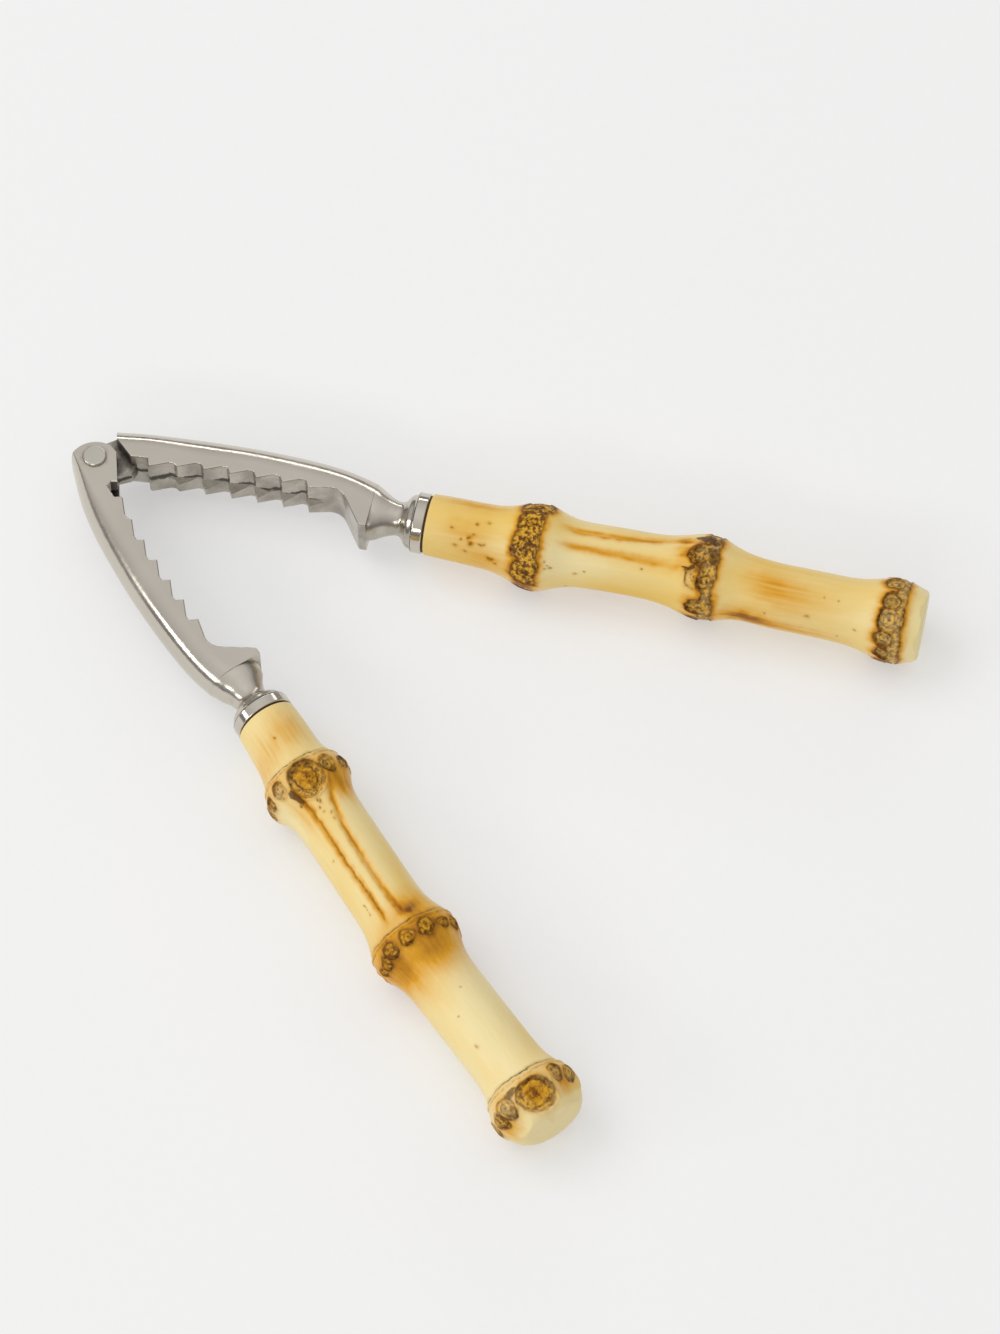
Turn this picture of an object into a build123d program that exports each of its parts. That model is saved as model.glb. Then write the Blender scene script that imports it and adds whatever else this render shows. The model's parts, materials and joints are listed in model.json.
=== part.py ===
from build123d import *
import math
import os

os.makedirs("parts", exist_ok=True)

# Plier nutcracker: two toothed cast jaws on a fork-and-tongue hinge, bamboo-root handles.
# Every arm is drawn in its own frame: x runs from the hinge pin to the handle end, y points
# away from the nut gap, z is across the jaws. The fork arm uses the frame turned upside down.

# ---- driving dimensions (mm) ----
hinge_x, hinge_y, hinge_z = -95.039, 1.927, 11.303 # hinge pin in the part frame
half_opening = 22.0                            # each arm from the centre line
jaw_h = 12.1                                   # jaw height, face to face
pin_r, pin_bore_r = 2.4, 2.45                  # hinge rivet and the tongue's running bore
head_r, head_h = 2.9, 0.8
slot_h, tongue_h = 4.0, 3.86                   # fork slot and tongue thickness
eye_r, eye_clear = 4.7, 0.25                   # tongue eye and the room round it
tooth_pitch, tooth_count, first_tooth = 6.54, 6, 13.9
root_r, edge_r = 0.5, 0.4                       # tooth roots and broken edges
throat_u, spur_u = 60.85, 67.6                   # end of the nut throat, hand-stop spur
arm_axis = 2.55                                # neck and ferrule axis, off the pin line
neck_u, neck_r = 76.6, 4.2
collar_u, ferrule_w, ferrule_r, spigot_r = 80.4, 2.7, 7.5, 5.6
seal_w, seal_r = 0.5, 7.05
tang_r, tang_from, tang_to = 2.5, 70.5, 121.0
bore_r, butt_r, handle_cuts = 3.2, 7.65, 30
groove_r, groove_u, groove_top, groove_z = 130.0, 41.5, 4.7, -1.0
groove_from, groove_to = 17.8, 60.0

hj = jaw_h / 2
handle_u = collar_u + ferrule_w + seal_w


def arm_frame(side):
    a = math.radians(side * half_opening)
    return Plane(origin=(hinge_x, hinge_y, hinge_z),
                 x_dir=(math.cos(a), math.sin(a), 0), z_dir=(0, 0, side))


def station(frame, u, v=0.0):
    # plane square across the arm at distance u from the pin
    return Plane(origin=frame.from_local_coords(Vector(u, v, 0)),
                 x_dir=frame.y_dir, z_dir=frame.x_dir)


def axis_line(frame, v=arm_axis):
    return Axis(frame.from_local_coords(Vector(0, v, 0)), frame.x_dir)


def disc(frame, u, r, v=arm_axis):
    # round section square across the arm
    with BuildSketch(station(frame, u, v)) as cut:
        Circle(r)
    return cut.sketch


TONGUE, FORK = arm_frame(1), arm_frame(-1)


def tooth_line():
    # saw-tooth edge: a long ramp, a small round root, then a steep face to the next crest
    crest = [0.35, 1.65, 2.15, 2.45, 2.7, 2.85, 2.8]
    pts = []
    for i in range(tooth_count):
        u = first_tooth + tooth_pitch * i
        pts += [(u, crest[i]), (u + 4.3, crest[i] + 1.95), (u + 5.5, crest[i] + 2.0)]
    return pts + [(first_tooth + tooth_pitch * tooth_count, crest[-1])]


def jaw_edge(near):
    # near: the outline round the hinge end, ending just before the first tooth
    Polyline(*near, *tooth_line(), (throat_u, 4.73), (spur_u, -4.7), (69.4, -4.6), (69.4, 16))


def bar(frame, rows):
    # the forging: flat faces, inner side square, back fully rounded
    cuts = []
    for u, flat, back in rows:
        with BuildSketch(station(frame, u)) as cut:
            with BuildLine():
                Polyline((flat, hj), (-9, hj), (-9, -hj), (flat, -hj))
                EllipticalCenterArc((flat, 0), back - flat, hj, -90, arc_size=180)
            make_face()
        cuts.append(cut.sketch)
    loft(cuts)


def trimmed(frame, near, closing, arc=None):
    # block with the jaw's plan: round tooth roots, and all edges of the nut side broken
    with BuildPart(mode=Mode.PRIVATE) as block:
        with BuildSketch(Plane.XY.offset(-hj)) as plan:
            with BuildLine():
                jaw_edge(near)
                Polyline((69.4, 16), *closing)
                if arc:
                    ThreePointArc(*arc)
            make_face()
            roots = [v for v in plan.vertices() if v.Y > 2 and first_tooth < v.X < 53
                     and 4.2 < (v.X - first_tooth) % tooth_pitch < 5.6]
            fillet(roots, radius=root_r)
            for at, r in ((throat_u, 4.5), (spur_u, 0.8)):
                fillet([v for v in plan.vertices() if abs(v.X - at) < 0.01], radius=r)
        extrude(plan.sketch, amount=jaw_h)
        rims = [e for e in block.edges() if abs((e @ 0).Z - (e @ 1).Z) < 0.01
                and (e @ 0.5).Y < 4.9 and 8.7 < (e @ 0.5).X < 69.3]
        fillet(rims, radius=edge_r)
    add(frame.location * block.part, mode=Mode.INTERSECT)


def neck(frame, back):
    # waist between jaw and ferrule: evenly spaced oval sections, the first two inside the jaw
    rows = [(68.2, 0.30, back, 5.75), (69.4, 0.20, back, 5.95), (70.6, 0.10, back - 0.5, 5.8),
            (71.8, 0, 6.1, 5.4), (73.0, 0, 5.35, 4.95), (74.2, 0, 4.7, 4.55),
            (75.4, 0, 4.25, 4.3), (neck_u, 0, neck_r, 4.3), (77.8, 0, 5.1, 5.1),
            (79.0, 0, 6.5, 6.5), (collar_u, 0, 7.4, 7.4)]
    cuts = []
    for u, lift, rv, rz in rows:
        with BuildSketch(station(frame, u, arm_axis + lift)) as cut:
            Ellipse(rv, rz)
        cuts.append(cut.sketch)
    loft(cuts)
    extrude(disc(frame, collar_u - 1, spigot_r), amount=ferrule_w + 1)


def nut_groove(frame):
    # one pass of a vee-rimmed cutter along the toothed face, swept both ways from the middle
    centre = frame.from_local_coords(Vector(groove_u, groove_top - groove_r, groove_z))
    with BuildSketch(Plane(origin=centre, x_dir=frame.y_dir, z_dir=frame.x_dir)) as rim:
        Polygon((groove_r, 0), (groove_r - 5, 7), (groove_r - 5, -7), align=None)
    for way, reach in ((frame.z_dir, groove_u - groove_from), (-frame.z_dir, groove_to - groove_u)):
        revolve(rim.sketch, axis=Axis(centre, way), mode=Mode.SUBTRACT,
                revolution_arc=math.degrees(math.asin(reach / groove_r)))


def tang_hole(frame):
    extrude(disc(frame, tang_from, tang_r), amount=20, mode=Mode.SUBTRACT)


# ---- fork arm: jaw with two cheeks ----
with BuildPart() as fork_jaw:
    bar(FORK, [(-6, 3.4, 4.3), (1, 4.1, 6.4), (8, 4.4, 8.6), (18, 4.8, 10.4), (32, 5.3, 11.7),
               (46, 5.6, 12.1), (58, 5.6, 11.7), (64.5, 4.6, 10.9), (70, 2.6, 9.5)])
    trimmed(FORK, [(-0.6, -4.9), (1.8, -5.1), (9.2, -0.9), (8.3, 0.5), (8.7, 1.7),
                   (12.5, 1.9), (13.2, 0.4)],
            [(-2.2, 16), (-2.2, 6.3)], ((-2.2, 6.3), (-4.5, 0.9), (-0.6, -4.9)))
    neck(FORK, 6.95)
    nut_groove(FORK)
    with BuildSketch(FORK.offset(-slot_h / 2)):
        Circle(eye_r + eye_clear)
        with BuildLine():
            Polyline((-9, -10), (-9, 4.95), (0, 4.95), (2.0, 4.53), (10.2, 0.9), (10.2, -10),
                     close=True)
        make_face()
    extrude(amount=slot_h, mode=Mode.SUBTRACT)
    with BuildSketch(FORK.offset(-10)):
        Circle(pin_r)
    extrude(amount=20, mode=Mode.SUBTRACT)
    tang_hole(FORK)
fork_jaw.part.label = "fork_jaw"
export_step(fork_jaw.part, "parts/fork_jaw.step")

# ---- tongue arm: jaw with a single eye ----
with BuildPart() as tongue_jaw:
    bar(TONGUE, [(1, 5.5, 10.0), (10, 5.8, 11.5), (20, 6.1, 12.5), (32, 6.7, 13.2),
                 (42, 6.9, 13.4), (52, 6.3, 13.2), (60, 5.7, 12.4), (65, 4.5, 11.4), (70, 2.6, 9.9)])
    trimmed(TONGUE, [(8.6, 2.1), (12.7, 2.5), (13.3, 0.5)],
            [(3.0, 16), (3.0, 9.6), (3.9, 6.4), (8.6, 2.1)])
    neck(TONGUE, 7.3)
    nut_groove(TONGUE)
    with BuildSketch(TONGUE.offset(-tongue_h / 2)):
        Circle(eye_r)
        with BuildLine():
            Polyline((-2.6, 3.92), (3.3, 8.4), (9.9, 5), (9.9, 2.3), (9.2, -0.4), (1.9, -4.3),
                     (0, 0), close=True)
        make_face()
    extrude(amount=tongue_h)
    with BuildSketch(TONGUE.offset(-10)):
        Circle(pin_bore_r)
    extrude(amount=20, mode=Mode.SUBTRACT)
    tang_hole(TONGUE)
tongue_jaw.part.label = "tongue_jaw"
export_step(tongue_jaw.part, "parts/tongue_jaw.step")

# ---- hinge rivet, headed over on both cheeks ----
with BuildPart() as hinge_rivet:
    with BuildSketch(FORK.offset(-hj)):
        Circle(pin_r)
    extrude(amount=jaw_h)
    for z, way in ((hj, 1), (-hj, -1)):
        with BuildSketch(FORK.offset(z)):
            Circle(head_r)
        extrude(amount=head_h * way)
    ends = hinge_rivet.faces().sort_by(Axis.Z)
    fillet(ends[0].edges() + ends[-1].edges(), radius=0.5)
hinge_rivet.part.label = "hinge_rivet"
export_step(hinge_rivet.part, "parts/hinge_rivet.step")


def ring(frame, u0, u1, r_in, r_out, soft=0.0):
    with BuildSketch(frame) as cut:
        with Locations((u0, arm_axis + r_in)):
            Rectangle(u1 - u0, r_out - r_in, align=(Align.MIN, Align.MIN))
        if soft:
            fillet(cut.vertices().sort_by(Axis.Y)[-2:], radius=soft)
    revolve(cut.sketch, axis=axis_line(frame))


def tang(frame):
    extrude(disc(frame, tang_from, tang_r), amount=tang_to - tang_from)


def bedding(frame):
    extrude(disc(frame, handle_u, bore_r), amount=tang_to + 0.6 - handle_u)
    extrude(disc(frame, handle_u, tang_r), amount=tang_to - handle_u, mode=Mode.SUBTRACT)


def eased(points, u):
    # smooth path through a few (u, v) points
    for (u0, v0), (u1, v1) in zip(points, points[1:]):
        if u <= u1:
            t = (u - u0) / (u1 - u0)
            return v0 + (v1 - v0) * t * t * (3 - 2 * t)
    return points[-1][1]


def root_radius(waist, knots, u):
    # slim internodes, a little tighter at the ferrule, with a swelling at every knot
    r = waist - (waist - butt_r) * math.exp((handle_u - u) / 11)
    for at, swell, rise, fall in knots:
        r += swell * math.exp(-(((u - at) / (rise if u < at else fall)) ** 2))
    return r


def bamboo(frame, end, waist, path, knots, soft):
    cuts = []
    for i in range(handle_cuts + 1):
        u = handle_u + (end - handle_u) * i / handle_cuts
        cuts.append(disc(frame, u, root_radius(waist, knots, u), eased(path, u)))
    loft(cuts)
    tip = faces().sort_by_distance(frame.from_local_coords(Vector(end, path[-1][1], 0)))[0]
    fillet(tip.edges(), radius=soft)
    extrude(disc(frame, handle_u, bore_r), amount=tang_to + 0.6 - handle_u, mode=Mode.SUBTRACT)


# ---- ferrule rings ----
with BuildPart() as fork_ferrule:
    ring(FORK, collar_u, collar_u + ferrule_w, spigot_r, ferrule_r, 0.35)
fork_ferrule.part.label = "fork_ferrule"
export_step(fork_ferrule.part, "parts/fork_ferrule.step")

with BuildPart() as tongue_ferrule:
    ring(TONGUE, collar_u, collar_u + ferrule_w, spigot_r, ferrule_r, 0.35)
tongue_ferrule.part.label = "tongue_ferrule"
export_step(tongue_ferrule.part, "parts/tongue_ferrule.step")

# ---- dark seal washers between ferrule and bamboo ----
with BuildPart() as fork_seal:
    ring(FORK, handle_u - seal_w, handle_u, tang_r, seal_r)
fork_seal.part.label = "fork_seal"
export_step(fork_seal.part, "parts/fork_seal.step")

with BuildPart() as tongue_seal:
    ring(TONGUE, handle_u - seal_w, handle_u, tang_r, seal_r)
tongue_seal.part.label = "tongue_seal"
export_step(tongue_seal.part, "parts/tongue_seal.step")

# ---- tangs: studs set in the jaws and buried in the handles ----
with BuildPart() as fork_tang:
    tang(FORK)
fork_tang.part.label = "fork_tang"
export_step(fork_tang.part, "parts/fork_tang.step")

with BuildPart() as tongue_tang:
    tang(TONGUE)
tongue_tang.part.label = "tongue_tang"
export_step(tongue_tang.part, "parts/tongue_tang.step")

# ---- resin bedding round the tangs ----
with BuildPart() as fork_bedding:
    bedding(FORK)
fork_bedding.part.label = "fork_bedding"
export_step(fork_bedding.part, "parts/fork_bedding.step")

with BuildPart() as tongue_bedding:
    bedding(TONGUE)
tongue_bedding.part.label = "tongue_bedding"
export_step(tongue_bedding.part, "parts/tongue_bedding.step")

# ---- bamboo-root handles ----
with BuildPart() as fork_handle:
    bamboo(FORK, 209.0, 8.35, [(handle_u, 2.75), (104.2, 3.8), (153.2, 4.95), (202, 3.75),
                               (209.0, 3.4)],
           [(104.2, 2.75, 5.2, 5.0), (153.2, 2.65, 6.3, 5.8), (202.0, 2.95, 6.0, 5.2)], 2.0)
fork_handle.part.label = "fork_handle"
export_step(fork_handle.part, "parts/fork_handle.step")

with BuildPart() as tongue_handle:
    bamboo(TONGUE, 207.0, 8.1, [(handle_u, 2.65), (111, 2.15), (135, 2.85), (153.2, 2.8),
                                (173, 1.4), (207.0, 0.75)],
           [(111.0, 2.85, 6.8, 6.3), (153.2, 2.55, 7.9, 6.2), (200.2, 2.35, 7.2, 5.8)], 0.8)
tongue_handle.part.label = "tongue_handle"
export_step(tongue_handle.part, "parts/tongue_handle.step")
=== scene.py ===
import json
import math
import bpy
import numpy as np
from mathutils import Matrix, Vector


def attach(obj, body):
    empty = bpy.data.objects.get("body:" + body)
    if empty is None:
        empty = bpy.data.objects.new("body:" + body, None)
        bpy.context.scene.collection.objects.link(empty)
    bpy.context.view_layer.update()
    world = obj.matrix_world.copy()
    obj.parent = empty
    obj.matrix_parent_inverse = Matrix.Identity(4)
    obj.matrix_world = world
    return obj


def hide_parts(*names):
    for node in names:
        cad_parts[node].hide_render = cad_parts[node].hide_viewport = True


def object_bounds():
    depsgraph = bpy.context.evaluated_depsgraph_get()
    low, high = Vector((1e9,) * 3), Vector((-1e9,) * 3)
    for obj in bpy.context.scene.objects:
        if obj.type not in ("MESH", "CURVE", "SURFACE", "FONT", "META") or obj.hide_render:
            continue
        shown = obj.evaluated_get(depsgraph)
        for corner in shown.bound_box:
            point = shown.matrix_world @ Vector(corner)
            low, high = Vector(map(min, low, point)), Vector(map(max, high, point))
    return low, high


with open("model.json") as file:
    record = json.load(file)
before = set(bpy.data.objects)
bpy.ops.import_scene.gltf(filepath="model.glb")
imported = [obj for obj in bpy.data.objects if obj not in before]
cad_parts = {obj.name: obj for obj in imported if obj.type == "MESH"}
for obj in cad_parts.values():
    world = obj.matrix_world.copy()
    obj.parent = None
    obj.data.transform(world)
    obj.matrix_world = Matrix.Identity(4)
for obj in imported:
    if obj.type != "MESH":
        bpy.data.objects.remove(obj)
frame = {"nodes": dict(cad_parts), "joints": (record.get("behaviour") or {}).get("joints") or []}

cad_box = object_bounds()
nodes = frame["nodes"]
PIN = Vector(frame["joints"][0]["pos_m"])   # centre of the hinge rivet, m
MM = 0.001
HALF_OPENING = math.radians(22.0)           # each arm from the centre line, at rest

# ---- camera: the view's direction, distance and aim ----
VIEW_AZ, VIEW_EL, VIEW_DIST = math.radians(34.716), math.radians(60.49), 1.20545
AIM = PIN + Vector((0.11373, 0.01064, 0.0))


def direction(azimuth, elevation):
    """A unit vector; azimuth 0 is -Y, and it turns towards +X."""
    return Vector((math.sin(azimuth) * math.cos(elevation), -math.cos(azimuth) * math.cos(elevation),
                   math.sin(elevation)))


def link(name, data):
    thing = bpy.data.objects.new(name, data)
    bpy.context.scene.collection.objects.link(thing)
    return thing


def point(thing, place, towards):
    thing.location = place
    thing.rotation_mode = "QUATERNION"
    thing.rotation_quaternion = towards.to_track_quat("-Z", "Y")


cam_data = bpy.data.cameras.new("camera")
cam_data.sensor_width, cam_data.lens = 36.0, 134.93
cam_data.clip_start, cam_data.clip_end = 0.01, 20.0
camera = link("camera", cam_data)
back = direction(VIEW_AZ, VIEW_EL)
point(camera, AIM + back * VIEW_DIST, -back)
bpy.context.scene.camera = camera
bpy.context.scene.view_settings.view_transform = "Standard"


# ---- node helpers ----
class Mat:
    """Short-hand for building one material's node tree."""

    def __init__(self, name):
        self.mat = bpy.data.materials.new(name)
        self.mat.use_nodes = True
        self.nt = self.mat.node_tree
        self.bsdf = next(n for n in self.nt.nodes if n.type == "BSDF_PRINCIPLED")
        coords = self.add("ShaderNodeTexCoord")
        self.place, self.facing = coords.outputs["Object"], coords.outputs["Normal"]

    def add(self, kind, **props):
        node = self.nt.nodes.new(kind)
        for key, value in props.items():
            setattr(node, key, value)
        return node

    def put(self, socket, value):
        if isinstance(value, bpy.types.NodeSocket):
            self.nt.links.new(value, socket)
        else:
            socket.default_value = value

    def noise(self, scale, detail=4.0, rough=0.5, vec=None):
        node = self.add("ShaderNodeTexNoise")
        self.put(node.inputs["Vector"], vec or self.place)
        for name, value in (("Scale", scale), ("Detail", detail), ("Roughness", rough)):
            node.inputs[name].default_value = value
        return node.outputs["Fac"]

    def cells(self, scale, vec):
        node = self.add("ShaderNodeTexVoronoi", feature="F1")
        self.put(node.inputs["Vector"], vec)
        node.inputs["Scale"].default_value = scale
        return node.outputs["Distance"]

    def attribute(self, name, out="Fac"):
        return self.add("ShaderNodeAttribute", attribute_name=name).outputs[out]

    def x_and_z(self):
        split = self.add("ShaderNodeSeparateXYZ")
        self.put(split.inputs[0], self.place)
        return split.outputs["X"], split.outputs["Z"]

    def math(self, op, a, b=0.0, clamp=False):
        node = self.add("ShaderNodeMath", operation=op, use_clamp=clamp)
        for socket, value in zip(node.inputs, (a, b)):
            self.put(socket, value)
        return node.outputs[0]

    def remap(self, fac, lo, hi, to_lo=0.0, to_hi=1.0):
        node = self.add("ShaderNodeMapRange")
        self.put(node.inputs["Value"], fac)
        for name, value in zip(("From Min", "From Max", "To Min", "To Max"), (lo, hi, to_lo, to_hi)):
            node.inputs[name].default_value = value
        return node.outputs[0]

    def mix(self, fac, a, b):
        node = self.add("ShaderNodeMix", data_type="RGBA")
        self.put(node.inputs[0], fac)
        for socket, value in ((node.inputs[6], a), (node.inputs[7], b)):
            self.put(socket, value if isinstance(value, bpy.types.NodeSocket) else (*value, 1.0))
        return node.outputs[2]

    def stretch(self, vec, scale):
        node = self.add("ShaderNodeMapping")
        self.put(node.inputs["Vector"], vec)
        node.inputs["Scale"].default_value = scale
        return node.outputs[0]

    def bump(self, height, strength, distance, normal=None):
        node = self.add("ShaderNodeBump")
        self.put(node.inputs["Height"], height)
        node.inputs["Strength"].default_value = strength
        node.inputs["Distance"].default_value = distance
        if normal:
            self.put(node.inputs["Normal"], normal)
        return node.outputs[0]

    def finish(self, **sockets):
        for key, value in sockets.items():
            if isinstance(value, tuple):
                value = (*value, 1.0)
            self.put(self.bsdf.inputs[key.replace("_", " ")], value)
        return self.mat


def shaded(colour, amount):
    return tuple(c * amount for c in colour)


# ---- metals, seals and resin: the CAD nodes keep their shape ----
STEEL = (0.64, 0.59, 0.51)                  # warm nickel-grey
RIVET, STUD = (0.64, 0.60, 0.52), (0.5, 0.5, 0.5)
# painted shade colour for recesses, the toothed side and its crease; in the hollows it also stands for patina
SHADE_TARNISH_COLOUR = (0.085, 0.075, 0.062)
RECESS = 0.006                              # how far the painted shade of a hollow reaches, m
CREASE_END = (0.049, 0.053)                 # where the painted shade along the toothed row's crease fades, from the pin, m
CREASE_HALF = (0.0005, 0.0012)              # its dark core and its faded edge, m


def shade_and_tarnish_mask(m, inward):
    """Painted shade, partly standing for patina in the hollows: darker in recesses, on the toothed side and
    along the crease on it.
    """
    # painted shade in recesses, from ambient occlusion, partly standing for patina
    hollow = m.add("ShaderNodeAmbientOcclusion", samples=12)
    hollow.inputs["Distance"].default_value = RECESS
    openness = m.math("ADD", hollow.outputs["AO"], m.remap(m.noise(700, 4, 0.65), 0.3, 0.7, -0.12, 0.12))
    recess = m.remap(openness, 0.38, 0.9, 0.9, 0.0)
    facing = m.add("ShaderNodeVectorMath", operation="DOT_PRODUCT")
    m.put(facing.inputs[0], m.facing)
    facing.inputs[1].default_value = inward
    inner = facing.outputs["Value"]
    # painted shade on the faces that turn to the toothed side
    toothed = m.math("MULTIPLY", m.remap(inner, 0.3, 0.75),
                     m.remap(m.noise(160, 3, 0.55), 0.35, 0.65, 0.12, 0.5))
    # painted shade: a dark wavy line along the crease of the toothed face
    x, z = m.x_and_z()
    wander = m.remap(m.noise(130, 4, 0.7), 0.3, 0.7, -0.0011, 0.0011)
    off_middle = m.math("ABSOLUTE", m.math("SUBTRACT", m.math("ADD", z, wander), PIN.z))
    crease = m.remap(off_middle, *CREASE_HALF, 0.99, 0.0)
    crease = m.math("MULTIPLY", crease, m.remap(inner, 0.1, 0.5))
    crease = m.math("MULTIPLY", crease, m.remap(x, *(PIN.x + end for end in CREASE_END), 1.0, 0.0))
    return m.math("MAXIMUM", recess, m.math("MAXIMUM", toothed, crease))


def polished_metal(name, tint, rough, wave=0.05, inward=None):
    """Hand-polished metal with faint waves; inward is a casting's toothed direction, which brings painted
    shade into the colour.
    """
    m = Mat(name)
    cloud = m.noise(60, 3)
    fine = m.noise(900, 3)
    colour = m.mix(m.remap(cloud, 0.35, 0.7), shaded(tint, 0.94), tint)
    roughness = m.math("ADD", m.remap(cloud, 0.3, 0.7, rough - 0.04, rough + 0.05),
                       m.remap(fine, 0.3, 0.7, -0.02, 0.02))
    if inward:
        # painted shade (with patina in the hollows) darkens the colour and roughens the surface
        shade_tarnish_amount = shade_and_tarnish_mask(m, inward)
        colour = m.mix(shade_tarnish_amount, colour, SHADE_TARNISH_COLOUR)
        roughness = m.math("ADD", roughness, m.math("MULTIPLY", shade_tarnish_amount, 0.25))
    waves = m.bump(m.noise(110, 2), wave, 0.0006)
    return m.finish(Base_Color=colour, Metallic=1.0, Roughness=roughness,
                    Normal=m.bump(fine, 0.03, 0.0001, waves))


def dull_material(name, colour):
    """Matt filler with a fine grit."""
    m = Mat(name)
    grit = m.noise(1500, 4)
    return m.finish(Base_Color=m.mix(m.remap(grit, 0.3, 0.7), shaded(colour, 0.6), colour),
                    Roughness=m.remap(grit, 0.3, 0.7, 0.55, 0.8), Normal=m.bump(grit, 0.3, 0.0001))


def casting(name, side):
    inward = (math.sin(HALF_OPENING), side * math.cos(HALF_OPENING), 0.0)
    return polished_metal(name, STEEL, 0.18, 0.035, inward)


ferrule_steel = polished_metal("ferrule_steel", STEEL, 0.12, 0.03)
rivet_steel = polished_metal("rivet_steel", RIVET, 0.22)
stud_steel = polished_metal("stud_steel", STUD, 0.35)
dark_seal = dull_material("dark_seal", (0.045, 0.028, 0.014))
resin = dull_material("resin", (0.25, 0.15, 0.06))
for arm, jaw_steel in (("fork", casting("fork_cast_steel", 1)), ("tongue", casting("tongue_cast_steel", -1))):
    for part, mat in (("jaw", jaw_steel), ("ferrule", ferrule_steel), ("tang", stud_steel),
                      ("seal", dark_seal), ("bedding", resin)):
        nodes[arm + "_" + part].material_slots[0].material = mat
nodes["hinge_rivet"].material_slots[0].material = rivet_steel


# ---- bamboo ----
CREAM, GOLD, FIBRE = (0.85, 0.72, 0.385), (0.80, 0.525, 0.105), (0.62, 0.38, 0.07)
CUT_END = (0.86, 0.72, 0.37)
STAIN_LIGHT, STAIN_DARK = (0.70, 0.335, 0.022), (0.30, 0.105, 0.006)
BURNT_LOW, BURNT_HIGH = (0.110, 0.036, 0.002), (0.70, 0.36, 0.02)
PIT, LINE = (0.065, 0.020, 0.001), (0.075, 0.022, 0.001)


def bamboo():
    """Skin painted by the handle's own attributes, over fibres that run along it."""
    m = Mat("bamboo")
    grain = m.attribute("grain", "Vector")
    line, speck, tan, pale, warm = (m.attribute(k) for k in ("line", "speck", "tan", "pale", "warm"))
    cloud = m.noise(1.0, 3, vec=m.stretch(grain, (0.045, 0.13, 0.13)))
    fibre = m.noise(1.0, 3, 0.6, m.stretch(grain, (0.10, 2.2, 2.2)))
    fine = m.noise(1.0, 2, vec=m.stretch(grain, (0.5, 5.0, 5.0)))
    rough = m.noise(0.85, 3, 0.6, grain)
    pits = m.cells(0.95, grain)

    gold = m.math("ADD", warm, m.remap(cloud, 0.35, 0.65, -0.15, 0.15), clamp=True)
    skin = m.mix(gold, CREAM, GOLD)
    skin = m.mix(m.remap(fibre, 0.35, 0.7, 0.0, 0.08), skin, FIBRE)
    skin = m.mix(pale, skin, CUT_END)
    stain = m.math("MULTIPLY", tan, m.remap(fibre, 0.3, 0.7, 0.92, 1.08), clamp=True)
    skin = m.mix(m.remap(stain, 0.0, 0.55), skin, STAIN_LIGHT)
    skin = m.mix(m.remap(stain, 0.5, 1.0), skin, STAIN_DARK)
    burnt = m.mix(m.remap(rough, 0.43, 0.56), BURNT_LOW, BURNT_HIGH)
    burnt = m.mix(m.remap(pits, 0.14, 0.32, 0.8, 0.0), burnt, PIT)
    skin = m.mix(m.math("MULTIPLY", speck, 0.95), skin, burnt)
    skin = m.mix(m.math("MULTIPLY", line, m.remap(rough, 0.3, 0.6, 1.0, 0.9)), skin, LINE)

    relief = m.math("ADD", m.math("MULTIPLY", fibre, 0.06),
                    m.math("MULTIPLY", m.math("MULTIPLY", rough, speck), 1.4))
    normal = m.bump(fine, 0.03, 0.0001, m.bump(relief, 0.35, 0.00025))
    roughness = m.math("ADD", m.remap(cloud, 0.3, 0.7, 0.27, 0.34), m.math("MULTIPLY", speck, 0.2))
    return m.finish(Base_Color=skin, Roughness=roughness, Normal=normal, Specular_IOR_Level=0.14)


# ---- bamboo-root handles: sizes in mm, stations counted along the arm from the pin ----
HANDLE_U = 83.6                             # where a handle starts
BUTT_R, BUTT_REACH = 7.65, 11.0             # its first radius, and how fast it reaches the waist
BUTT_ROUND = 0.35                           # radius of its first edge
SINK = 0.06                                 # marks are raised from a skin this much under the CAD's
WRAP_R = 8.5                                # radius on which noise is wrapped around
AROUND, ALONG = ((330, 680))
CAP_RINGS = (0.985, 0.94, 0.86, 0.72, 0.5, 0.25)
BOX_GAP = 0.00002                           # kept inside the CAD model's box, m


def smooth(lo, hi, x):
    t = np.clip((x - lo) / (hi - lo), 0.0, 1.0)
    return t * t * (3 - 2 * t)


def hump(x, width):
    """1 at x = 0, falling off as a bell of this half-width."""
    return np.exp(-((x / width) ** 2))


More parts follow.
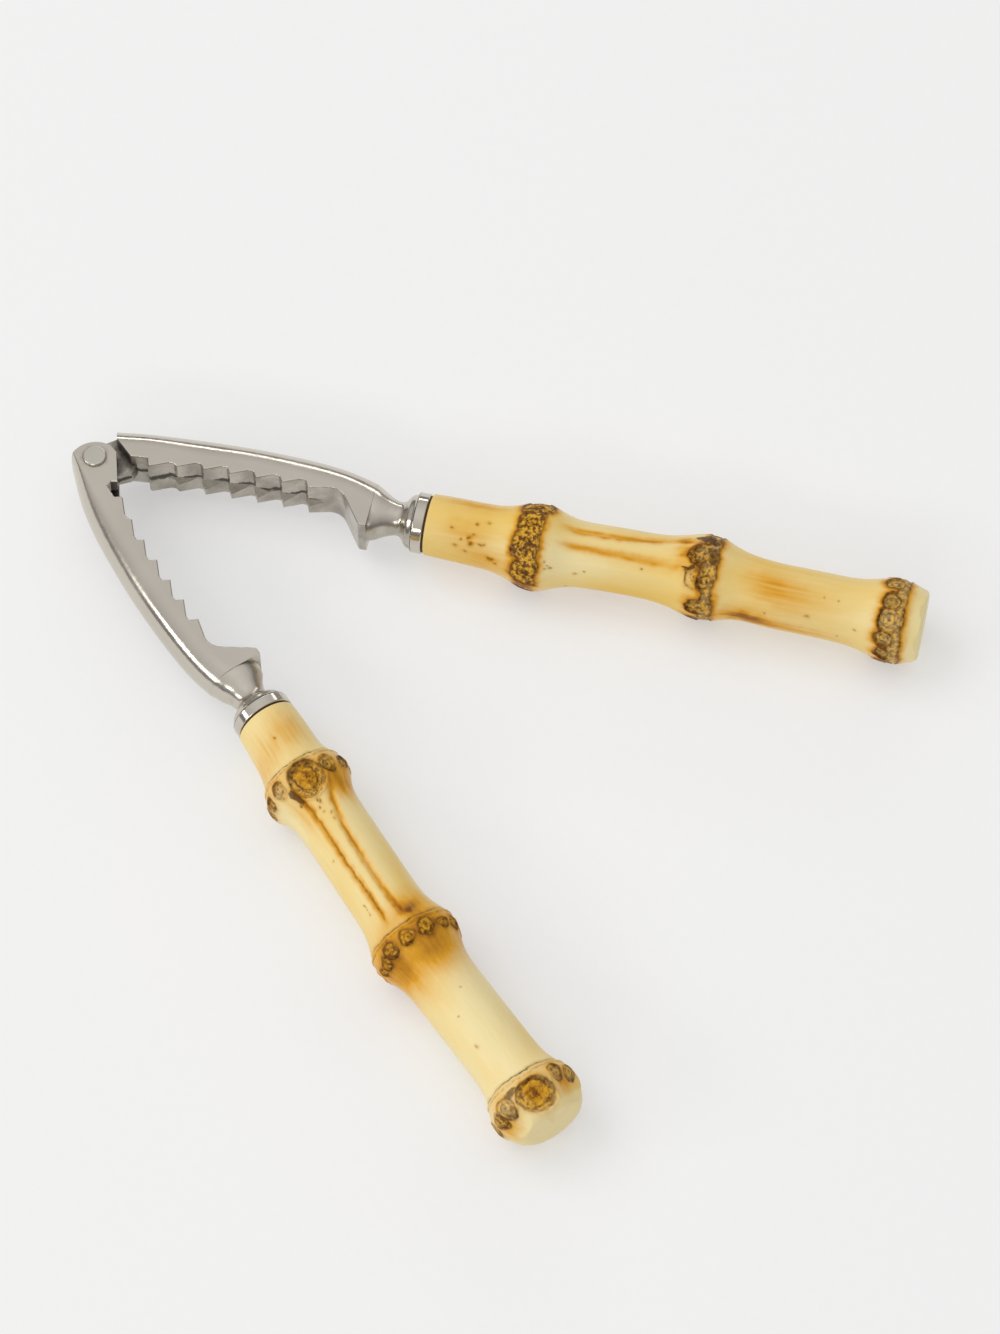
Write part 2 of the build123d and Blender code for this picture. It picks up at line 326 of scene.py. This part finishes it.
class Handle:
    """A bamboo-root handle worked out on a grid of stations along it and angles around it.

    An angle is counted from the arm's outward side (0) over the top (90), in degrees. Heights are
    radial. line = burnt dark lines, speck = rough burnt skin, tan = orange-brown stain,
    pale = cut ends, warm = golden skin.
    """

    def __init__(self, side, end, nose, waist, path, knots, seed):
        """side is 1 or -1 across the centre line; path is (station, how far out the middle lies);
        knots are (station, swell, reach towards the pin, reach towards the end)."""
        self.side, self.end, self.nose = side, end, nose
        self.rng = np.random.default_rng(seed)
        u = np.linspace(HANDLE_U, end, ALONG)
        t = np.linspace(0, 2 * np.pi, AROUND, endpoint=False)
        self.u, self.t = np.meshgrid(u, t, indexing="ij")
        self.r = waist - (waist - BUTT_R) * np.exp((HANDLE_U - self.u) / BUTT_REACH)
        for at, swell, rise, fall in knots:
            self.r += swell * hump(self.u - at, np.where(self.u < at, rise, fall))
        self.mid = np.full_like(self.u, path[-1][1])
        for (a, out_a), (b, out_b) in reversed(list(zip(path, path[1:]))):
            inside = self.u <= b
            self.mid[inside] = (out_a + (out_b - out_a) * smooth(a, b, self.u))[inside]
        self.h, self.line, self.speck, self.tan, self.pale, self.warm = np.zeros((6, *self.u.shape))
        self.wob_u = 0.30 * self.ripple(3.5) + 0.16 * self.ripple(1.4)
        self.wob_t = 0.30 * self.ripple(3.5) + 0.16 * self.ripple(1.4)
        self.mottle = self.ripple(1.1) + 0.6 * self.ripple(0.6)
        self.streak = self.ripple(1.2, 14.0)

    def ripple(self, size, length=None, waves=14):
        """Smooth noise, about -1 to 1, with features of this size (longer along the arm)."""
        total = np.zeros_like(self.u)
        y, z = WRAP_R * np.cos(self.t), WRAP_R * np.sin(self.t)
        for _ in range(waves):
            d = self.rng.normal(size=3)
            d /= np.linalg.norm(d)
            k = 2 * np.pi / size * (0.6 + 0.6 * self.rng.random()) * d
            along = k[0] * size / length if length else k[0]
            total += np.sin(along * self.u + k[1] * y + k[2] * z + 6.3 * self.rng.random())
        return total / math.sqrt(waves / 2) / 1.6

    def off(self, u, deg, warp=1.0):
        """How far each grid point lies from a place: along the arm and around it."""
        turn = (self.t - math.radians(deg) + np.pi) % (2 * np.pi) - np.pi
        return self.u - u + warp * self.wob_u, turn * self.r + warp * self.wob_t

    def ink(self, amount):
        self.line = np.maximum(self.line, amount)

    def stain(self, u, deg, ru, rt, strength, streaky=0.35):
        du, dt = self.off(u, deg)
        patch = strength * hump(du, ru) * hump(dt, rt)
        self.tan += patch * (1 + 0.6 * streaky * self.streak)

    def tint(self, points):
        """Golden skin: its strength at stations along the handle, in drifting patches."""
        us, amount = zip(*points)
        self.warm = np.interp(self.u, us, amount) + 0.2 * self.ripple(14, 45)

    def ring(self, u, sway):
        """The fine ridge where a node starts, with a dark line in the crease before it."""
        at = self.u - u - sway * np.sin(self.t - 0.6) + 0.6 * self.wob_u
        self.ink(hump(at + 0.15, 0.3) * (0.85 + 0.2 * self.mottle))
        self.ink(0.5 * hump(at - 0.95, 0.2) * (0.6 + 0.4 * self.mottle))
        self.h += 0.3 * hump(at - 0.4, 0.5) - 0.34 * hump(at + 0.35, 0.4)
        self.tan += 0.2 * smooth(-0.6, 0.4, at) * (1 - smooth(1.5, 5.5, at))

    def scar(self, u, deg, ru, rt, fill=0.7, facing=0.0, crescent=0.8, inner=0.55, depth=0.3):
        """A root scar: sunken disc, dark outline, inner ring and dot, dark crescent on one side."""
        du, dt = self.off(u, deg, 0.8)
        size = min(ru, rt)
        rho = np.hypot(du / ru, dt / rt)
        side = np.cos(np.arctan2(dt, du) - math.radians(facing))
        body = 1 - smooth(0.86, 1.04, rho)
        self.speck = np.maximum(self.speck, fill * body)
        self.ink(hump((rho - 1) * size, 0.28) * (0.72 + 0.25 * side + 0.2 * self.mottle))
        self.ink(0.75 * hump((rho - inner) * size, 0.2) * (0.75 + 0.35 * self.mottle))
        self.ink(0.85 * hump(rho * size, 0.32))
        moon = smooth(inner, inner + 0.1, rho) * (1 - smooth(1.0, 1.12, rho)) * smooth(0.05, 0.6, side)
        self.ink(crescent * moon * (0.85 + 0.2 * self.mottle))
        self.tan += 0.2 * hump(np.maximum(rho - 1, 0) * size, 0.9) * (1 - 0.5 * body)
        self.h += (-depth * body + 0.7 * depth * hump((rho - 1.12) * size, 0.32)
                   + 0.5 * depth * (1 - smooth(inner - 0.15, inner, rho)) - 0.4 * depth * moon)

    def scars(self, rows, **looks):
        """Scars given as (angle, station, ru, rt, fill, facing)."""
        for deg, u, ru, rt, fill, facing in rows:
            self.scar(u, deg, ru, rt, fill, facing, **looks)

    def open_scar(self, u, deg, ru, rt, facing, crescent, inner, depth, heart, stain):
        """A large scar whose heart is smoother and browner than its rim."""
        self.scar(u, deg, ru, rt, 0.8, facing, crescent, inner, depth)
        rubbed = 1 - smooth(heart, heart + 0.7, np.hypot(*self.off(u, deg, 0.8)))
        self.speck *= 1 - 0.4 * rubbed
        self.stain(u, deg, stain, stain, 1.0)

    def groove(self, points, width, depth, strength, dark=0.0, ends=3.0):
        """A furrow that follows (station, angle) points, stained at the bottom."""
        us, degs = zip(*points)
        mid = np.interp(self.u, us, np.radians(degs))
        run = (smooth(us[0] - ends, us[0] + ends, self.u)
               * (1 - smooth(us[-1] - ends, us[-1] + ends, self.u)))
        dt = (self.t - mid) * self.r + 0.5 * self.wob_t
        self.h -= depth * run * hump(dt, width)
        self.tan += strength * run * hump(dt, width * 1.15) * (1 + 0.25 * self.streak)
        self.ink(dark * run * hump(dt, width * 0.3) * (0.8 + 0.4 * self.mottle))

    def band(self, lobes, fill, left=math.inf, right=-math.inf, arc=(0, 360), depth=0.22):
        """Rough burnt skin between two stations, scalloped by lobes (station, angle, ru, rt).

        With no stations given there are only the lobes."""
        mid = math.radians(sum(arc) / 2)
        turn = np.abs((self.t - mid + np.pi) % (2 * np.pi) - np.pi)
        reach = (turn - math.radians(arc[1] - arc[0]) / 2) * self.r
        u = self.u + self.wob_u
        d = np.maximum(np.maximum(left - u, u - right), reach)
        for lobe_u, deg, ru, rt in lobes:
            du, dt = self.off(lobe_u, deg, 0.8)
            d = np.minimum(d, (np.hypot(du / ru, dt / rt) - 1) * min(ru, rt))
        inside = 1 - smooth(-0.25, 0.12, d)
        self.speck = np.maximum(self.speck, fill * inside)
        self.ink(0.95 * hump(d, 0.34) * (0.85 + 0.25 * self.mottle))
        self.tan += 0.75 * hump(np.maximum(d, 0), 1.3) * (1 - inside)
        self.ink(0.75 * inside * hump(d, 0.8) * smooth(-0.3, 0.6, self.mottle))
        self.h += depth * (inside * (0.12 * self.mottle - 1) + 0.5 * hump(d - 0.35, 0.4))

    def blot(self, u, deg, ru, rt, strength=0.9, depth=0.0):
        du, dt = self.off(u, deg, 1.3)
        rho = np.hypot(du / ru, dt / rt) + 0.12 * self.mottle
        self.ink(strength * (1 - smooth(0.7, 1.1, rho)))
        self.h -= depth * hump(rho, 1)

    def specks(self, places, size):
        for u, deg in places:
            grow = size * (0.6 + 0.7 * self.rng.random())
            du, dt = self.off(u + self.rng.normal() * 0.1, deg, 0.6)
            rho = np.hypot(du / (grow * (0.8 + self.rng.random())), dt / grow)
            self.ink((0.45 + 0.45 * self.rng.random()) * hump(rho, 1))
            self.tan += 0.2 * hump(rho, 1.9)
            self.h -= 0.1 * hump(rho, 1)

    def settle(self, facets):
        """Joins radius and heights, rounds both ends, and cuts the last end with flat facets,
        given by their lean, the angle they face and how deep they bite."""
        top = PIN.z / MM
        self.radius = np.minimum(self.r - SINK + self.h, top - 0.01)
        over = np.clip(self.u - (self.end - self.nose), 0, self.nose)
        self.radius -= self.nose - np.sqrt(self.nose ** 2 - over ** 2)
        end_r = self.r[-1].mean()
        for lean, deg, bite in facets:
            across = np.cos(self.t - math.radians(deg))
            plane = (end_r - bite + (self.end - self.u) * lean) / np.maximum(across, 0.05)
            self.radius = np.minimum(self.radius, np.where(across > 0.05, plane, math.inf))
        start = np.clip(BUTT_ROUND - (self.u - HANDLE_U), 0, BUTT_ROUND)
        self.radius -= BUTT_ROUND - np.sqrt(BUTT_ROUND ** 2 - start ** 2)

    def build(self, name, body, node, material):
        # one list of rings: the first end from its middle out, the side, the last end back in
        caps = np.array(CAP_RINGS)
        index = np.concatenate([np.zeros(len(caps), int), np.arange(ALONG),
                                np.full(len(caps), ALONG - 1)])
        scale = np.concatenate([caps[::-1], np.ones(ALONG), caps])[:, None]
        t, r = self.t[index], self.radius[index] * scale
        u, v, z = self.u[index], self.mid[index] + r * np.cos(t), r * np.sin(t)
        along, out, up = (np.append(grid, [grid[0].mean(), grid[-1].mean()]) for grid in (u, v, z))
        a = HALF_OPENING
        x = along * math.cos(a) - out * math.sin(a)
        y = (along * math.sin(a) + out * math.cos(a)) * self.side
        co = np.stack([x, y, up], axis=1) * MM + np.array(PIN)
        low, high = (np.array(corner) for corner in cad_box)
        co = np.clip(co, low + BOX_GAP, high - BOX_GAP)

        rows, n = u.shape
        i, j = np.meshgrid(np.arange(rows - 1), np.arange(n), indexing="ij")
        j2 = (j + 1) % n
        quads = np.stack([i * n + j, i * n + j2, (i + 1) * n + j2, (i + 1) * n + j], axis=-1)
        quads = quads.reshape(-1, 4)
        fan, tip, last = np.arange(n), rows * n, (rows - 1) * n
        turn = (fan + 1) % n
        tris = np.concatenate([np.stack([np.full(n, tip), turn, fan], axis=1),
                               np.stack([np.full(n, tip + 1), last + fan, last + turn], axis=1)])
        if self.side < 0:
            quads, tris = quads[:, ::-1], tris[:, ::-1]
        loops = np.concatenate([quads.ravel(), tris.ravel()]).astype(np.int32)
        sizes = np.repeat((4, 3), (len(quads), len(tris)))
        starts = np.concatenate([[0], np.cumsum(sizes)[:-1]]).astype(np.int32)
        mesh = bpy.data.meshes.new(name)
        mesh.vertices.add(len(co))
        mesh.vertices.foreach_set("co", co.ravel())
        mesh.loops.add(len(loops))
        mesh.loops.foreach_set("vertex_index", loops)
        mesh.polygons.add(len(sizes))
        mesh.polygons.foreach_set("loop_start", starts)
        mesh.update(calc_edges=True)
        mesh.validate()
        mesh.shade_smooth()

        for label in ("line", "speck", "tan", "pale", "warm"):
            values = getattr(self, label)
            flat = np.append(values[index], [values[0].mean(), values[-1].mean()])
            layer = mesh.attributes.new(label, "FLOAT", "POINT")
            layer.data.foreach_set("value", np.clip(flat, 0, 1).astype(np.float32))
        grain = mesh.attributes.new("grain", "FLOAT_VECTOR", "POINT")
        grain.data.foreach_set("vector", np.stack([along, out, up], axis=1).ravel().astype(np.float32))
        mesh.materials.append(material)
        piece = link(name, mesh)
        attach(piece, body)
        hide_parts(node)


def fork_handle(material):
    """The handle with clear rings: single scars in rows, a large scar at each end, two furrows."""
    h = Handle(side=-1, end=209.0, nose=2.4, waist=8.35,
               path=[(83.6, 2.75), (104.2, 3.8), (153.2, 4.95), (202, 3.75), (209, 3.4)],
               knots=[(104.2, 2.75, 5.2, 5.0), (153.2, 2.65, 6.3, 5.8), (202.0, 2.95, 6.0, 5.2)],
               seed=11)
    h.groove([(107.5, 57), (110, 57.5), (113.4, 59), (128, 58), (147, 61)], 0.8, 0.55, 0.6, 0.5)
    h.groove([(109, 110), (113.9, 99), (120.9, 89), (134, 86), (147.5, 87)], 0.85, 0.5, 0.55, 0.2)
    h.tint([(84, 0.36), (98, 0.42), (112, 0.3), (140, 0.25), (152, 0.5), (166, 0.2), (180, 0.1),
            (196, 0.2), (204, 0.35), (209, 0.4)])

    # knot-shaped shadow before the second ring
    h.stain(148.4, 98, 2.4, 2.2, 0.55, 0.1)
    h.blot(148.7, 97, 1.1, 1.0, 0.55)
    h.stain(146.8, 112, 4.0, 5.5, 0.42, 0.15)
    h.stain(149, 66, 2.6, 3.0, 0.2, 0.1)
    # long stains after it, as (angle, ru, rt, strength)
    for deg, ru, rt, strength in (
            (112, 7, 3.4, 0.6), (92, 8, 2.4, 0.44), (76, 6, 2.2, 0.4), (48, 9, 3.4, 0.6),
            (28, 6, 3.0, 0.4), (0, 8, 4, 0.48), (150, 6, 4, 0.4), (190, 8, 5, 0.48),
            (240, 7, 5, 0.48), (300, 8, 5, 0.48)):
        h.stain(158.0, deg, ru, rt, strength, 0.1)
    # smaller stains, as (station, angle, ru, rt, strength)
    for patch in ((91.5, 104, 5, 3.6, 0.32), (93, 62, 5.5, 5, 0.2), (97, 20, 6, 5, 0.25),
                  (90, 230, 6, 6, 0.3), (109.5, 122, 4.5, 3.0, 0.6), (110, 150, 5, 3.5, 0.5),
                  (112, 46, 6, 2.6, 0.3), (130, 220, 12, 4, 0.3), (180, 250, 12, 5, 0.3),
                  (204, 130, 3.0, 3.0, 0.5), (206, 14, 2.0, 4.0, 0.4)):
        h.stain(*patch)
    for at, sway in ((100.2, 0.5), (150.9, 0.4), (197.2, 0.6)):
        h.ring(at, sway)

    h.open_scar(106.1, 81, 4.5, 4.4, 180, crescent=0.9, inner=0.64, depth=0.5, heart=2.2, stain=2.6)
    h.blot(108.2, 52, 2.2, 1.0, 0.9, 0.3)
    h.scars(((41, 104.2, 2.1, 1.6, 0.4, 200), (16, 104.6, 1.9, 1.7, 0.9, 180),
             (354, 104.8, 1.9, 1.8, 0.9, 0), (117, 105.3, 2.3, 2.2, 0.7, 0),
             (147, 105.4, 1.6, 2.0, 0.6, 180), (170, 105.3, 1.6, 1.4, 0.7, 0),
             (196, 105.0, 2.2, 2.0, 0.7, 0), (225, 104.8, 2.0, 1.8, 0.6, 30),
             (252, 105.2, 2.4, 2.2, 0.8, 180), (282, 104.7, 1.8, 1.9, 0.6, 0),
             (308, 104.9, 2.1, 1.9, 0.7, 0), (332, 104.6, 1.6, 1.5, 0.8, 0)))
    h.scars(((73, 154.6, 1.9, 2.0, 0.6, 0), (101, 154.7, 2.1, 2.2, 0.75, 10),
             (45, 154.7, 2.1, 2.1, 0.7, 0), (26, 155.5, 1.5, 1.4, 0.8, 10),
             (8, 155.8, 1.4, 1.5, 0.8, 0), (126, 155.0, 1.3, 1.6, 0.7, 0),
             (150, 155.2, 1.5, 1.7, 0.8, 0), (176, 155.0, 1.8, 1.9, 0.7, 0),
             (200, 154.6, 1.6, 1.6, 0.7, 10), (223, 154.8, 2.0, 2.1, 0.7, 0),
             (248, 155.1, 1.5, 1.6, 0.8, 350), (270, 154.9, 1.9, 1.8, 0.6, 0),
             (293, 154.7, 1.7, 1.7, 0.7, 0), (316, 155.2, 1.6, 1.9, 0.7, 10),
             (340, 154.9, 1.9, 1.8, 0.8, 0)), crescent=0.95)
    h.open_scar(203.9, 82, 4.1, 4.5, 165, crescent=0.95, inner=0.74, depth=0.45, heart=2.4, stain=2.8)
    h.scars(((40, 202.4, 2.7, 2.8, 0.55, 0), (18, 203.2, 2.0, 1.9, 0.9, 0),
             (122, 201.6, 2.2, 2.1, 0.4, 90), (148, 202.0, 2.0, 2.0, 0.5, 0),
             (174, 202.3, 2.2, 2.2, 0.7, 0), (203, 202.0, 2.4, 2.4, 0.7, 0),
             (236, 202.8, 3.2, 3.3, 0.7, 180), (270, 202.2, 2.3, 2.2, 0.6, 0),
             (298, 202.0, 2.2, 2.2, 0.7, 0), (326, 202.4, 2.4, 2.3, 0.7, 0),
             (354, 202.6, 1.9, 1.9, 0.9, 0)))
    h.blot(200.6, 57, 1.5, 2.0, 0.8)
    h.specks([(111, 78), (111.9, 76), (112.6, 80), (113.8, 73), (115.0, 75), (116.4, 84), (117.9, 82),
              (185.7, 53), (171, 92), (177, 60), (126, 40), (92, 75), (136, 200), (180, 210),
              (95, 280)], 0.3)
    h.specks([(140 + 0.8 * k, 42 + 0.4 * k) for k in range(5)], 0.16)
    h.pale += 0.9 * smooth(205.8, 207.0, h.u + 0.9 * np.sin(2 * h.t + 1.2))
    h.settle([(0.42, 85, 0.9), (0.55, 30, 1.4), (0.38, 135, 1.1), (0.6, 190, 1.2), (0.45, 250, 1.0),
              (0.55, 310, 1.3)])
    h.build("fork_bamboo_handle", "fork_arm", "fork_handle", material)


def tongue_handle(material):
    """The handle whose root scars run together into three rough burnt bands."""
    h = Handle(side=1, end=207.0, nose=0.9, waist=8.1,
               path=[(83.6, 2.65), (111, 2.15), (135, 2.85), (153.2, 2.8), (173, 1.4), (207, 0.75)],
               knots=[(111.0, 2.85, 6.8, 6.3), (153.2, 2.55, 7.9, 6.2), (200.2, 2.35, 7.2, 5.8)],
               seed=23)
    h.tint([(84, 0.72), (97, 0.65), (106, 0.5), (114, 0.3), (130, 0.5), (145, 0.45), (156, 0.35),
            (166, 0.7), (182, 0.6), (194, 0.45), (204, 0.35), (207, 0.4)])
    h.groove([(118, 79), (131, 77), (142, 67)], 0.95, 0.4, 0.62)
    h.groove([(118, 109), (130, 111), (143, 113)], 0.95, 0.38, 0.6)
    h.groove([(119, 232), (131, 236), (142, 241)], 0.95, 0.38, 0.5)
    for patch in ((94, 122, 6, 4.2, 0.3), (95, 60, 8, 2.2, 0.4), (169, 104, 6.5, 4, 0.4),
                  (176, 122, 9, 5, 0.25), (164, 178, 6.5, 2.6, 0.95), (176, 184, 9, 2.0, 0.45),
                  (101, 168, 7, 3.5, 0.35), (146.5, 64, 3.0, 1.3, 0.7), (147.5, 88, 2.2, 2.4, 0.6),
                  (146.5, 113, 2.6, 1.5, 0.5), (128, 250, 10, 5, 0.3), (170, 290, 10, 5, 0.4),
                  (95, 250, 7, 6, 0.3)):
        h.stain(*patch)

    # first band, open on one side, where a lone lobe lies
    h.band([(108.4, 56, 2.3, 3.6), (108.2, 88, 2.2, 2.7), (108.0, 121, 2.5, 3.7),
            (108.6, 161, 2.4, 3.4), (112.6, 50, 1.6, 2.6), (108.3, 14, 2.3, 3.2),
            (108.2, 236, 2.3, 3.2), (108.0, 268, 2.5, 3.0), (108.3, 300, 2.2, 2.8),
            (108.4, 332, 2.3, 2.8)], 1.0, 107.4, 112.4, (-140, 181))
    h.band([(109.4, 203, 2.3, 2.4)], 0.9)
    h.blot(107.6, 70, 1.1, 1.2, 0.9)
    for u, deg, ru, rt in ((109.4, 58, 1.5, 1.3), (108.8, 121, 1.4, 1.5), (109.2, 161, 1.2, 1.2),
                           (109.3, 88, 1.2, 1.3), (108.9, 250, 1.4, 1.5), (109.1, 300, 1.3, 1.4)):
        h.scar(u, deg, ru, rt, 0.9, 0, crescent=0.4, inner=0.5, depth=0.12)

    # second band, with a black patch on top
    h.band([(152.2, 88, 2.6, 2.9), (153.6, 118, 2.0, 2.6), (152.0, 166, 2.3, 2.2),
            (152.3, 200, 2.6, 1.5), (152.2, 236, 2.4, 2.4), (152.0, 268, 2.6, 2.6),
            (152.3, 300, 2.2, 2.4), (152.0, 332, 2.5, 2.4), (152.4, 10, 2.4, 2.4)],
           0.74, 152.6, 155.6, (40, 400))
    h.blot(152.6, 60, 3.0, 2.5, 0.97, 0.1)
    h.blot(154.6, 86, 1.8, 2.6, 0.85)
    h.scar(150.9, 91, 2.5, 2.6, 0.8, 90, 0.7, 0.5, 0.3)
    h.scar(150.6, 123, 2.4, 2.8, 0.25, 270, 0.4, 0.4, 0.2)
    h.scar(153.2, 128, 1.5, 1.6, 0.6, 180, 0.4, 0.5, 0.25)
    h.scar(151.6, 166, 2.3, 2.2, 0.8, 180, 0.3, 0.6, 0.3)
    h.blot(149.3, 113, 1.5, 0.7, 0.95)
    h.blot(151.6, 203, 2.4, 1.0, 0.85)

    # third band, all the way round
    h.band([(198.9, 57, 2.5, 2.7), (198.7, 93, 2.2, 2.3), (199.2, 121, 3.2, 3.4),
            (198.2, 150, 2.2, 2.1), (198.8, 176, 2.2, 2.1), (198.8, 206, 2.4, 2.4),
            (198.6, 238, 2.6, 2.8), (199.0, 270, 2.2, 2.3), (198.8, 302, 2.6, 2.6),
            (199.0, 332, 2.2, 2.2), (198.9, 20, 2.3, 2.5)], 0.7, 199.6, 202.2)
    h.scars(((57, 198.8, 2.2, 2.3, 0.7, 90), (93, 198.7, 2.1, 2.2, 0.7, 0),
             (121, 198.9, 2.7, 3.0, 0.7, 180), (150, 198.2, 2.0, 2.0, 0.7, 90),
             (176, 198.8, 2.0, 1.9, 0.7, 180), (206, 198.8, 2.1, 2.1, 0.7, 0),
             (238, 198.6, 2.3, 2.4, 0.7, 90), (270, 199.0, 2.0, 2.0, 0.7, 0),
             (302, 198.8, 2.3, 2.3, 0.7, 180), (332, 199.0, 2.0, 2.0, 0.7, 0),
             (20, 198.9, 2.0, 2.1, 0.7, 90)), crescent=0.3, inner=0.5, depth=0.3)
    h.blot(198.7, 93, 1.7, 1.8, 0.45)
    h.specks([(92.8, 135), (94.9, 131), (95.3, 128), (96.1, 122), (95.4, 141), (95.9, 139), (99, 134),
              (97.9, 137), (96.5, 102), (98.8, 96), (100.4, 159), (102.2, 167), (101.2, 160),
              (90.6, 118), (91.8, 150), (94.3, 156)], 0.34)
    h.specks([(114.2, 139), (115.0, 144), (115.6, 148), (114.6, 150), (122, 158), (124, 152),
              (137.6, 128), (168.9, 156), (182.5, 106), (186, 108), (179.2, 147), (187, 174),
              (191, 150), (120, 200), (170, 250), (130, 300)], 0.27)
    h.pale += 0.6 * smooth(203.0, 205.0, h.u) + 0.4 * smooth(205.8, 206.3, h.u)
    h.settle([(0.75, 95, 0.7), (0.8, 150, 0.8), (0.7, 45, 0.8), (0.75, 210, 0.7), (0.8, 265, 0.8),
              (0.75, 330, 0.8)])
    h.build("tongue_bamboo_handle", "tongue_arm", "tongue_handle", material)


bamboo_skin = bamboo()
fork_handle(bamboo_skin)
tongue_handle(bamboo_skin)

# ---- floor ----
FLOOR_HALF = 6.0
FLOOR_GREYS = (0.515, 0.515, 0.513), (0.53, 0.53, 0.528)
corners = [(-1, -1), (1, -1), (1, 1), (-1, 1)]
floor_mesh = bpy.data.meshes.new("floor")
floor_mesh.from_pydata([(x * FLOOR_HALF, y * FLOOR_HALF, 0) for x, y in corners], [], [(0, 1, 2, 3)])
link("floor", floor_mesh)
paper = Mat("floor")
floor_mesh.materials.append(paper.finish(Base_Color=paper.mix(paper.noise(400, 2), *FLOOR_GREYS),
                                         Roughness=0.9, Specular_IOR_Level=0.2,
                                         Emission_Color=(1.0, 1.0, 1.0), Emission_Strength=0.36))

# ---- studio: a grey world by height, as (height, grey), and soft lamps ----
HORIZON, ZENITH = (0.40, 0.40, 0.40, 1), (0.86, 0.86, 0.865, 1)
SKY = (0.10, 0.24), (0.24, 0.26), (0.45, 0.52), (0.75, 0.70), (0.87, 0.75)
world = bpy.data.worlds.new("studio")
bpy.context.scene.world = world
world.use_nodes = True
sky = world.node_tree
background = next(n for n in sky.nodes if n.type == "BACKGROUND")
split = sky.nodes.new("ShaderNodeSeparateXYZ")
sky.links.new(sky.nodes.new("ShaderNodeTexCoord").outputs["Generated"], split.inputs[0])
ramp = sky.nodes.new("ShaderNodeValToRGB")
sky.links.new(split.outputs["Z"], ramp.inputs[0])
ramp.color_ramp.elements[0].color = HORIZON
ramp.color_ramp.elements[1].color = ZENITH
for at, grey in SKY:
    ramp.color_ramp.elements.new(at).color = (grey, grey, grey * 1.01, 1)
sky.links.new(ramp.outputs[0], background.inputs["Color"])


def softbox(name, azimuth, elevation, distance, size, watts, colour, mirrored=True):
    """A lamp aimed at the tool's middle; azimuth is counted from the camera's side, in degrees."""
    data = bpy.data.lights.new(name, "AREA")
    data.shape = "RECTANGLE"
    data.size, data.size_y = size
    data.energy, data.color = watts, colour
    lamp = link(name, data)
    lamp.visible_glossy = mirrored
    place = direction(math.radians(azimuth) + VIEW_AZ, math.radians(elevation)) * distance
    point(lamp, place, -place)


softbox("left_strip", -70, 24, 2.6, (1.5, 0.42), 11, (1.0, 0.99, 0.97))
softbox("front_low", -20, 29, 2.8, (1.6, 0.36), 11, (1.0, 0.985, 0.96))
softbox("back_strip", 172, 20, 2.8, (2.4, 0.3), 7.5, (1.0, 0.99, 0.98))
softbox("key", -112, 52, 3.4, (2.6, 2.2), 33, (1.0, 0.99, 0.975), mirrored=False)
